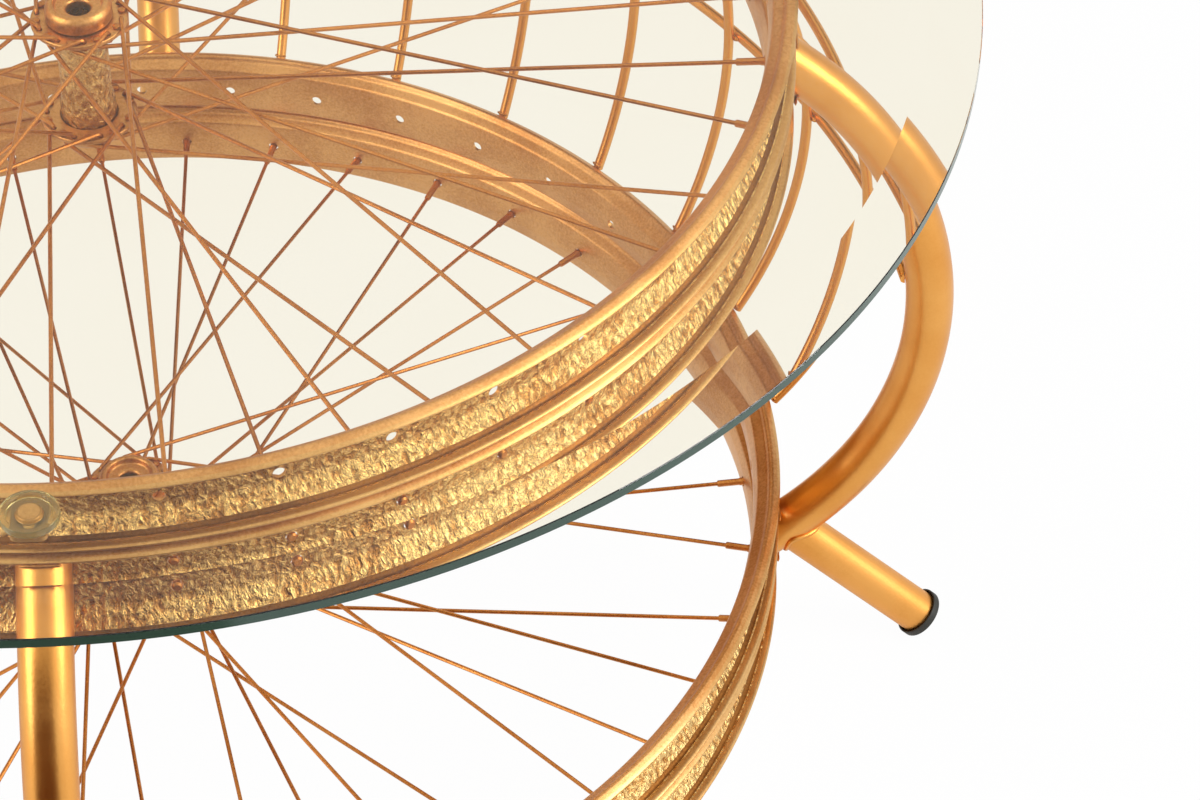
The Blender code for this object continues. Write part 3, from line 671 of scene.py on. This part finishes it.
def leg_axis(bend):
    """Return the reach and height of a leg's axis at an angle of its bend."""
    return LEG_SEAT + LEG_BULGE - LEG_ARC * (1 - math.cos(bend)), LEG_MIDDLE + LEG_ARC * math.sin(bend)


def leg_path(angle):
    """Return a leg's axis, run on into the troughs."""
    line = [leg_axis(LEG_END * (step / LEG_STEPS - 1)) for step in range(2 * LEG_STEPS + 1)]
    inward, rise = -LEG_OVERRUN * math.sin(LEG_END), LEG_OVERRUN * math.cos(LEG_END)
    line = [(line[0][0] + inward, line[0][1] - rise), *line, (line[-1][0] + inward, line[-1][1] + rise)]
    return [polar(reach, angle, height) for reach, height in line]


def trough_ring(height):
    """Return the ring that a leg's end is ground to: the inside of a laced rim and all behind it."""
    mouth, bed, behind, beside = LIP_RADIUS + GAP, BED_RADIUS + 0.0020, BED_RADIUS - 0.024, 0.036
    half = [(behind, beside), (mouth, beside), (mouth, LIP_HALF - GAP),
            (BED_RADIUS + 2.5 * SHEET + GAP, LIP_HALF - 2 * SHEET - GAP), (bed, BED_HALF)]
    ring = as_mesh(spun(half + [(radius, -z) for radius, z in reversed(half)], RIM_SEGMENTS // 2))
    ring.transform(Matrix.Translation((0, 0, height)))
    return ring


print("leg arc radius:", round(LEG_ARC, 4), "end angle:", round(math.degrees(LEG_END), 1))

# %% Legs
for name, angle in LEG_ANGLES.items():
    tube = swept([leg_path(angle)], LEG_RADIUS, LEG_ROUNDNESS)
    leg = carved(tube, trough_ring(LOWER_WHEEL), trough_ring(UPPER_WHEEL))
    add_piece(f"leg_{name}_bent", leg, (tube_gold,), [f"leg_{name}"])
    print("leg", name, "faces:", len(leg.polygons))

# %% Feet and caps
FOOT_RADIUS, FOOT_JOIN, FOOT_SLOPE = 0.0110, 0.0050, math.radians(44.3)
CAP_INNER, CAP_OUTER = 0.01188, 0.01278
CAP_SKIRT, CAP_SHOULDER, CAP_DOME, CAP_FLAT = 0.0026, 0.0012, 0.0038, 0.0006
CAP_ROUNDING, CAP_SEGMENTS, DOME_TURN = 0.0004, 48, 0.78


def foot_ends(angle):
    """Return where a foot's axis leaves the leg's axis and where it ends in its cap."""
    bend = -math.acos((FOOT_JOIN - LEG_BULGE + LEG_ARC) / LEG_ARC)
    reach, height = leg_axis(bend)
    end_height = CAP_SHOULDER * math.sin(FOOT_SLOPE) + CAP_OUTER * math.cos(FOOT_SLOPE) - CAP_FLAT
    end_reach = reach + (height - end_height) / math.tan(FOOT_SLOPE)
    return polar(reach, angle, height), polar(end_reach, angle, end_height)


def cap_mesh(seat, angle):
    """Spin a domed cap with a short skirt, set it on the foot and wear a flat on it."""
    profile = rounded([(0.0, GAP), (CAP_INNER, GAP), (CAP_INNER, -CAP_SKIRT), (CAP_OUTER, -CAP_SKIRT),
                       (CAP_OUTER, CAP_SHOULDER), (CAP_OUTER * DOME_TURN, CAP_DOME * DOME_TURN),
                       (0.0, CAP_DOME)], CAP_ROUNDING, 3)
    shape = spun(profile, CAP_SEGMENTS)
    tilt = Matrix.Rotation(math.pi / 2 + FOOT_SLOPE, 4, "Y")
    shape.transform(Matrix.Translation(seat) @ Matrix.Rotation(angle, 4, "Z") @ tilt)
    for vert in shape.verts:
        vert.co.z = max(vert.co.z, 0.0)
    return as_mesh(shape)


def leg_space(angle):
    """Return the room that a leg takes up, with the small gap that is kept round it."""
    return swept([leg_path(angle)], LEG_RADIUS + GAP, LEG_ROUNDNESS)


for name, angle in LEG_ANGLES.items():
    ends = foot_ends(angle)
    foot = carved(swept([ends], FOOT_RADIUS, LEG_ROUNDNESS), leg_space(angle))
    add_piece(f"foot_{name}_tube", foot, (foot_gold,), [f"foot_{name}"])
    cap = cap_mesh(ends[1], angle)
    add_piece(f"cap_{name}_moulded", cap, (cap_rubber,), [f"cap_{name}"])
    print("foot", name, "length:", round((ends[1] - ends[0]).length, 4))

# %% [markdown]
# ## The rod cage
#
# One quarter of the table, between the right and the rear leg, is closed by seven bowed rods. Two
# hoops tie them together and to the legs: one outside their widest part, one just under the upper
# wheel. They are plain 5 mm rod, so a sweep along the right arc is all they need.

# %% Bends of the rods and hoops
ROD_RADIUS = HOOP_RADIUS = 0.0026
RODS, FIRST_ROD, ROD_PITCH = 7, 7.2, 11.75
ROD_ANGLES = [math.radians(FIRST_ROD + ROD_PITCH * index) for index in range(RODS)]
ROD_LOW = LOWER_WHEEL + RIM_PITCH + LIP_HALF
ROD_HIGH = UPPER_WHEEL - LIP_HALF
ROD_MIDDLE, ROD_HALF = (ROD_LOW + ROD_HIGH) / 2, (ROD_HIGH - ROD_LOW) / 2
WAIST, UPPER_HOOP = LEG_SEAT + LEG_BULGE - 0.0338, UPPER_WHEEL - 0.0408


def hoop_reach(angle):
    """Return the middle hoop's reach: a flat arc from leg to leg past the cage's waist."""
    bend = math.asin((ROD_MIDDLE - LEG_MIDDLE) / LEG_ARC)
    end = leg_axis(bend)[0] - LEG_RADIUS / math.cos(bend)
    half_chord, sag = end * math.sin(math.pi / 4), WAIST - end * math.cos(math.pi / 4)
    arc = (half_chord ** 2 + sag ** 2) / (2 * sag)
    offset, turn = WAIST - arc, angle - math.pi / 4
    return offset * math.cos(turn) + math.sqrt(arc ** 2 - (offset * math.sin(turn)) ** 2)


def rod_bend(angle):
    """Return a rod's bulge, arc radius and end angle, with its ends against both lips."""
    bulge = hoop_reach(angle) - HOOP_RADIUS - ROD_RADIUS - GAP
    end = 0.0
    for _ in range(12):
        reach = LIP_RADIUS + 0.0007 + (ROD_RADIUS + GAP) / math.cos(end)
        end = 2 * math.atan((bulge - reach) / ROD_HALF)
    return bulge, ROD_HALF / math.sin(end), end


def rod_point(angle, bend):
    """Return a point of a rod's axis."""
    bulge, radius, _ = rod_bend(angle)
    return polar(bulge - radius + radius * math.cos(bend), angle, ROD_MIDDLE + radius * math.sin(bend))


def upper_hoop_reach(angle):
    """Return the upper hoop's reach, against the outside of the rods."""
    bulge, radius, _ = rod_bend(angle)
    bend = math.asin((UPPER_HOOP - ROD_MIDDLE) / radius)
    return bulge - radius + radius * math.cos(bend) + (HOOP_RADIUS + ROD_RADIUS + GAP) / math.cos(bend)


print("rods:", len(ROD_ANGLES), "bulge of the first:", round(rod_bend(ROD_ANGLES[0])[0], 4))

# %% Rods and hoops
ROD_ROUNDNESS, ROD_STEPS, HOOP_STEPS, ROD_OVERRUN = 3, 20, 72, 0.0030
for number, angle in enumerate(ROD_ANGLES, start=1):
    _, radius, end = rod_bend(angle)
    end += ROD_OVERRUN / radius
    path = [rod_point(angle, end * (step / ROD_STEPS - 1)) for step in range(2 * ROD_STEPS + 1)]
    rod = swept([path], ROD_RADIUS, ROD_ROUNDNESS)
    add_piece(f"cage_rod_{number}_bent", rod, (tube_gold,), [f"cage_rod_{number}"])
HOOPS = {"middle_hoop": (hoop_reach, ROD_MIDDLE), "upper_hoop": (upper_hoop_reach, UPPER_HOOP)}
for node, (reach, height) in HOOPS.items():
    turns = [math.pi / 2 * step / HOOP_STEPS for step in range(HOOP_STEPS + 1)]
    path = [polar(reach(angle), angle, height) for angle in turns]
    spaces = [leg_space(LEG_ANGLES[name]) for name in ("right", "rear")]
    hoop = carved(swept([path], HOOP_RADIUS, ROD_ROUNDNESS), *spaces)
    add_piece(f"{node}_bent", hoop, (tube_gold,), [node])
    print(node, "faces:", len(hoop.polygons))

# %% [markdown]
# ## Weld beads
#
# The solids keep a small gap where the real pieces are welded, so the beads are added here. A bead is
# a row of overlapping ripples. Sweeping a section whose radius swells and shrinks along the joint
# gives that row, and a fixed noise keeps it from looking machined. They are small, because the real
# ones were dressed back. The joint of leg and foot was filed almost smooth and has the tubes' finish.

# %% Weld beads
BEAD_STEP, RIPPLE, RIPPLE_TURN, UNEVEN, UNEVEN_PER_M = 0.0006, 0.06, 1.35, 0.16, 420
SADDLE_STEPS, SADDLE_REACH, HALVINGS, LEG_KNOTS = 48, 0.05, 12, 100


def bead(name, path, radius, seed, finish=weld_gold, unevenness=1.0):
    """Lay one rippled weld bead along a path."""
    fine = []
    for one, two in zip(path, path[1:]):
        count = max(2, int((two - one).length / BEAD_STEP))
        fine += [one.lerp(two, step / count) for step in range(count)]
    fine.append(path[-1])
    swells = []
    for index, spot in enumerate(fine):
        ripple = RIPPLE * math.cos(index * RIPPLE_TURN)
        ripple += UNEVEN * noise.noise(spot * UNEVEN_PER_M + Vector((seed, 0, 0)))
        # The bead starts and stops thin
        fade = min(1.0, 0.35 + 0.3 * min(index, len(fine) - 1 - index))
        swells.append((1 - RIPPLE + unevenness * ripple) * fade)
    mesh = swept([fine], radius, 3, swells)
    return add_piece(name, mesh, (finish,))


def saddle(angle):
    """Return the line where a foot's surface meets its leg's, found by halving along the foot."""
    start, end = foot_ends(angle)
    axis, side = (end - start).normalized(), sideways(angle)
    rise = axis.cross(side)
    bends = [LEG_END * (step / LEG_KNOTS - 1) for step in range(2 * LEG_KNOTS + 1)]
    leg = [polar(reach, angle, height) for reach, height in map(leg_axis, bends)]
    line = []
    for step in range(SADDLE_STEPS + 1):
        around = math.tau * step / SADDLE_STEPS
        offset = (side * math.cos(around) + rise * math.sin(around)) * (FOOT_RADIUS + GAP)
        inside, outside = 0.0, SADDLE_REACH
        for _ in range(HALVINGS):
            middle = (inside + outside) / 2
            spot = start + axis * middle + offset
            if min((spot - knot).length for knot in leg) < LEG_RADIUS + GAP:
                inside = middle
            else:
                outside = middle
        line.append(start + axis * outside + offset)
    return line


def across(spot, angle, half):
    """Return a short level line over a joint, in three even steps."""
    return [spot + sideways(angle) * half * share for share in (-1, -1 / 3, 1 / 3, 1)]


print("points along a foot's joint:", len(saddle(0.0)))

# %% Lay the beads
SADDLE_BEAD, LIP_BEAD, ROD_BEAD, HOOP_BEAD = 0.0013, 0.0009, 0.0011, 0.0015
# A leg leans on one lip of its trough more than on the other, so that bead is longer
LONG_BEAD, SHORT_BEAD, LIP_STEPS = 0.0105, 0.0085, 6
ROD_BEAD_HALF, HOOP_BEAD_HALF = 0.0030, 0.0042
welds = []
for index, (name, angle) in enumerate(LEG_ANGLES.items()):
    welds.append(bead(f"weld_foot_{name}", saddle(angle), SADDLE_BEAD, index, tube_gold, 0.15))
    for level, height in (("lower", LOWER_WHEEL), ("upper", UPPER_WHEEL)):
        for edge, lip in (("high", height + LIP_HALF), ("low", height - LIP_HALF)):
            half = (LONG_BEAD if (edge == "low") == (level == "upper") else SHORT_BEAD) / LIP_RADIUS
            turns = [angle + half * (step / LIP_STEPS - 1) for step in range(2 * LIP_STEPS + 1)]
            line = [polar(LIP_RADIUS + 0.0008, turn, lip) for turn in turns]
            welds.append(bead(f"weld_{level}_leg_{name}_{edge}", line, LIP_BEAD, index + 7))
for number, angle in enumerate(ROD_ANGLES, start=1):
    end = rod_bend(angle)[2]
    for label, bend in (("low", -end), ("high", end)):
        spot = rod_point(angle, bend) + polar(-ROD_RADIUS * 0.75, angle, 0)
        welds.append(bead(f"weld_rod_{number}_{label}", across(spot, angle, ROD_BEAD_HALF), ROD_BEAD, number))
    for node, (reach, height) in HOOPS.items():
        spot = polar(reach(angle) - HOOP_RADIUS, angle, height)
        line = across(spot, angle, HOOP_BEAD_HALF)
        welds.append(bead(f"weld_rod_{number}_{node}", line, HOOP_BEAD, number + 20))
print("weld beads:", len(welds))

# %% [markdown]
# ## Pads, tabs and glass
#
# A short tab stands out from the top rim over each leg and carries a clear vinyl pad with a ring and
# a stud, so the glass can't slide. The gold of the stud and a brown ring round it show through the
# vinyl, so they are finishes on the pad's own faces. The glass is an 8 mm disc whose upper face is
# ground down over its last 25 mm. That slope bends what is seen through it outward, as the real bevel
# does, so it has to be real geometry and not a trick of the material.

# %% Tabs and pads
TOP_LIP = UPPER_WHEEL + RIM_PITCH + LIP_HALF
TAB_TOP, TAB_THICKNESS, TAB_LENGTH, TAB_WIDTH = TOP_LIP + 0.0003, 0.0020, 0.0212, 0.0150
TAB_ROUNDING, TAB_HOLE_RADIUS, TAB_HOLE_INSET = 0.0035, 0.0024, 0.0068
PAD_REACH, PAD_RADIUS, PAD_HEIGHT, PAD_FLOOR = 0.3337, 0.0122, 0.0034, 0.0016
PAD_RING, PAD_STUD, PAD_DRAFT, PAD_ROUNDING, PAD_SEGMENTS = 0.0026, 0.0050, 0.0006, 0.0007, 64


def tab_mesh(angle):
    """Cut a tab from strip, with rounded corners, and drill the hole that once held a screw."""
    inner, half = LIP_RADIUS + 0.0012, TAB_WIDTH / 2
    outer = inner + TAB_LENGTH
    corners = [(inner, -half), (outer, -half), (outer, half), (inner, half)]
    outline = rounded(corners, TAB_ROUNDING, 5, closed=True)
    shape = bmesh.new()
    low = [shape.verts.new((x, y, TAB_TOP - TAB_THICKNESS)) for x, y in outline]
    high = [shape.verts.new((x, y, TAB_TOP)) for x, y in outline]
    shape.faces.new(low[::-1])
    shape.faces.new(high)
    for index in range(len(outline)):
        after = (index + 1) % len(outline)
        shape.faces.new((low[index], low[after], high[after], high[index]))
    place = Matrix.Translation((outer - TAB_HOLE_INSET, 0, TAB_TOP))
    drilled = carved(as_mesh(shape), drill_bits([place], TAB_HOLE_RADIUS, HOLE_SIDES))
    drilled.transform(Matrix.Rotation(angle, 4, "Z"))
    return drilled


def pad_mesh(angle):
    """Spin a pad with its ring and stud."""
    inside = PAD_RADIUS - PAD_RING
    profile = rounded([(0.0, 0.0), (PAD_RADIUS, 0.0), (PAD_RADIUS, PAD_HEIGHT), (inside, PAD_HEIGHT),
                       (inside - PAD_DRAFT, PAD_FLOOR), (PAD_STUD + PAD_DRAFT, PAD_FLOOR),
                       (PAD_STUD, PAD_HEIGHT), (0.0, PAD_HEIGHT)], PAD_ROUNDING, 4)
    shape = spun(profile, PAD_SEGMENTS)
    for face in shape.faces:
        # Vinyl outside, gold on the stud and brown in the ring between them
        reach = face.calc_center_median().xy.length
        face.material_index = 0 if reach > PAD_STUD + 0.0008 else 1 if reach < PAD_STUD - 0.0016 else 2
    mesh = as_mesh(shape)
    mesh.transform(Matrix.Translation(polar(PAD_REACH, angle, TAB_TOP + GAP)))
    return mesh


for name, angle in LEG_ANGLES.items():
    tab, pad = f"glass_tab_{name}", f"glass_pad_{name}"
    add_piece(f"{tab}_strip", tab_mesh(angle), (tab_brown,), [tab])
    add_piece(f"{pad}_moulded", pad_mesh(angle), (pad_vinyl, lip_gold, tab_brown), [pad])
print("pads at reach", PAD_REACH)

# %% Glass top
GLASS_RADIUS, GLASS_THICKNESS, GLASS_EDGE, GLASS_BEVEL = 0.4038, 0.0080, 0.0050, 0.0250
GLASS_ARRIS, GLASS_SEGMENTS, GLASS_CREASE = 0.0004, 360, 4
GLASS_BOTTOM = TAB_TOP + PAD_HEIGHT + 2 * GAP
glass_profile = [
    (0.0, 0.0), (GLASS_RADIUS - GLASS_ARRIS, 0.0), (GLASS_RADIUS, GLASS_ARRIS),
    (GLASS_RADIUS, GLASS_EDGE - GLASS_ARRIS), (GLASS_RADIUS - GLASS_ARRIS, GLASS_EDGE),
    (GLASS_RADIUS - GLASS_BEVEL, GLASS_THICKNESS), (0.0, GLASS_THICKNESS),
]
glass_shape = spun(glass_profile, GLASS_SEGMENTS)
for face in glass_shape.faces:
    reach = face.calc_center_median().xy.length
    face.material_index = 1 if reach > GLASS_RADIUS - 0.3 * GLASS_ARRIS else 0
glass_mesh = as_mesh(glass_shape)
glass_mesh.transform(Matrix.Translation((0, 0, GLASS_BOTTOM)))
glass = add_piece("glass_top_polished", glass_mesh, (glass_face, glass_edge), ["glass_top"],
                  "glass", GLASS_CREASE)
# Light for the pieces below passes the clear disc; Cycles would otherwise take it for an opaque lid
glass.visible_shadow = False
glass.visible_diffuse = False
print("glass from", round(GLASS_BOTTOM, 4), "to", round(GLASS_BOTTOM + GLASS_THICKNESS, 4))

# %% [markdown]
# ## Floor and light
#
# The table stands on a pale studio floor that photographs as plain white. The camera and the glass see
# floor and world as white, and metal mirrors a white world over a greyer floor. Lamps and a weaker sky
# do the lighting. Gold only looks like gold when it has something dark to mirror, so brown cloths
# lie on the floor in front, hang before the front leg and stand at the left back. A large one hangs
# high behind the table, where the glass would otherwise mirror plain white over everything below it.
# Only mirrors see the cloths.

# %% Floor
def plain_sheet(name, size, place, colour):
    """Add a flat stage sheet of one colour."""
    shape = bmesh.new()
    bmesh.ops.create_grid(shape, x_segments=1, y_segments=1, size=0.5)
    bmesh.ops.scale(shape, vec=(size[0], size[1], 1), verts=shape.verts)
    sheet = bpy.data.objects.new(name, as_mesh(shape))
    sheet.matrix_world = place
    bpy.context.scene.collection.objects.link(sheet)
    finish, _, shader = new_finish(name, 0.8, 0.0)
    shader.inputs["Base Color"].default_value = linear(colour)
    sheet.data.materials.append(finish)
    return sheet, finish


def looked_at(tree, mirror_share):
    """Return a value that is 1 for rays from the camera or through glass, and this share in mirrors."""
    ray = add_node(tree, "ShaderNodeLightPath", {})
    mirrored = add_node(tree, "ShaderNodeMath", {"operation": "MULTIPLY", 1: mirror_share},
                        [(0, ray.outputs["Is Glossy Ray"])])
    seen = add_node(tree, "ShaderNodeMath", {"operation": "MAXIMUM"},
                    [(0, ray.outputs["Is Camera Ray"]), (1, mirrored.outputs["Value"])])
    seen = add_node(tree, "ShaderNodeMath", {"operation": "MAXIMUM"},
                    [(0, seen.outputs["Value"]), (1, ray.outputs["Is Transmission Ray"])])
    return seen.outputs["Value"]


_, floor_finish = plain_sheet("pale_floor", (14, 14), Matrix.Translation((0, 0, -0.0005)), "#FFFFFF")
tree = floor_finish.node_tree
white = add_node(tree, "ShaderNodeEmission", {"Color": linear("#FFFFFF"), "Strength": 1.0})
# A small rest of the floor's own shading keeps the shadow, and mirrors see a greyer floor
share = add_node(tree, "ShaderNodeMath", {"operation": "MULTIPLY", 1: 0.97}, [(0, looked_at(tree, 0.5))])
blend = add_node(tree, "ShaderNodeMixShader", {},
                 [(0, share.outputs["Value"]), (1, tree.nodes["Principled BSDF"].outputs["BSDF"]),
                  (2, white.outputs["Emission"])])
tree.links.new(blend.outputs["Shader"], tree.nodes["Material Output"].inputs["Surface"])
print("floor:", floor_finish.name)

# %% World
world = bpy.data.worlds.new("white_studio")
bpy.context.scene.world = world
world.use_nodes = True
tree = world.node_tree
sky = tree.nodes["Background"]
level = add_node(tree, "ShaderNodeMapRange", {"To Min": 0.55, "To Max": 1.0},
                 [("Value", looked_at(tree, 1.0))])
tree.links.new(level.outputs["Result"], sky.inputs["Strength"])
sky.inputs["Color"].default_value = linear("#FFFFFF")
print("world:", world.name)

# %% Dark cloths
def dark_cloth(name, size, place):
    """Hang or lay a dark cloth that only mirrors see."""
    cloth, _ = plain_sheet(name, size, place, "#6A3A14")
    cloth.visible_camera = cloth.visible_diffuse = cloth.visible_transmission = cloth.visible_shadow = False


UPRIGHT = Matrix.Rotation(math.pi / 2, 4, "X")
LEFT_BACK = math.radians(140)
FACING_TABLE = Matrix.Rotation(LEFT_BACK + math.pi / 2, 4, "Z")
dark_cloth("cloth_on_floor", (0.65, 0.8), Matrix.Translation((-0.12, -0.84, 0.0005)))
dark_cloth("cloth_before_front_leg", (1.1, 0.75), Matrix.Translation((-0.2, -0.9, 0.45)) @ UPRIGHT)
dark_cloth("cloth_left_back", (2.6, 1.5),
           Matrix.Translation(polar(2.4, LEFT_BACK, 0.7)) @ FACING_TABLE @ UPRIGHT)
dark_cloth("cloth_high_behind", (9.0, 4.2), Matrix.Translation((-0.1, 2.4, 3.5)) @ UPRIGHT)

# %% Lamps
def softbox(name, spot, aim, size, power):
    """Add a large soft lamp at a spot, aimed at a point."""
    lamp = bpy.data.lights.new(name, "AREA")
    lamp.shape, lamp.size, lamp.size_y, lamp.energy = "RECTANGLE", size[0], size[1], power
    holder = bpy.data.objects.new(name, lamp)
    holder.location = spot
    holder.rotation_euler = (Vector(aim) - Vector(spot)).to_track_quat("-Z", "Y").to_euler()
    bpy.context.scene.collection.objects.link(holder)


TABLE_MIDDLE, SOFTBOX_SIZE = (0, 0, 0.25), (1.0, 1.8)
softbox("left_softbox", (-2.0, -0.9, 1.3), TABLE_MIDDLE, SOFTBOX_SIZE, 25)
softbox("right_softbox", (2.1, -0.6, 1.4), TABLE_MIDDLE, SOFTBOX_SIZE, 29)
print("lamps:", [light.name for light in bpy.data.lights])

# %% [markdown]
# ## Camera
#
# The photograph was taken from the front, a little to the right, looking down at about 43 degrees with
# a long lens. The place and lens below were found by fitting the circles of the rims, the glass and
# the legs' arcs to the picture.

# %% Camera
CAMERA_SPOT = Vector((0.2334, -1.5151, 1.6111))
PITCH, ROLL, TABLE_TURN = 0.7591, -0.0030, math.radians(1.86)
FOCAL_PIXELS, IMAGE_WIDTH, SENSOR_WIDTH = 4285.9, 1200, 36.0
ahead = Vector((0, math.cos(PITCH), -math.sin(PITCH)))
above = Vector((0, math.sin(PITCH), math.cos(PITCH)))
right = Vector((1, 0, 0)) * math.cos(ROLL) + above * math.sin(ROLL)
upward = above * math.cos(ROLL) - Vector((1, 0, 0)) * math.sin(ROLL)
camera = bpy.data.cameras.new("studio_camera")
camera.sensor_width, camera.lens = SENSOR_WIDTH, SENSOR_WIDTH * FOCAL_PIXELS / IMAGE_WIDTH
camera.clip_start = 0.05
view = bpy.data.objects.new("studio_camera", camera)
axes = Matrix((right, upward, -ahead)).transposed().to_4x4()
view.matrix_world = Matrix.Rotation(-TABLE_TURN, 4, "Z") @ Matrix.Translation(CAMERA_SPOT) @ axes
bpy.context.scene.collection.objects.link(view)
bpy.context.scene.camera = view
bpy.context.scene.view_settings.view_transform = "Standard"
print("camera at", [round(c, 4) for c in view.matrix_world.translation])
print("lens:", round(camera.lens, 1), "mm")
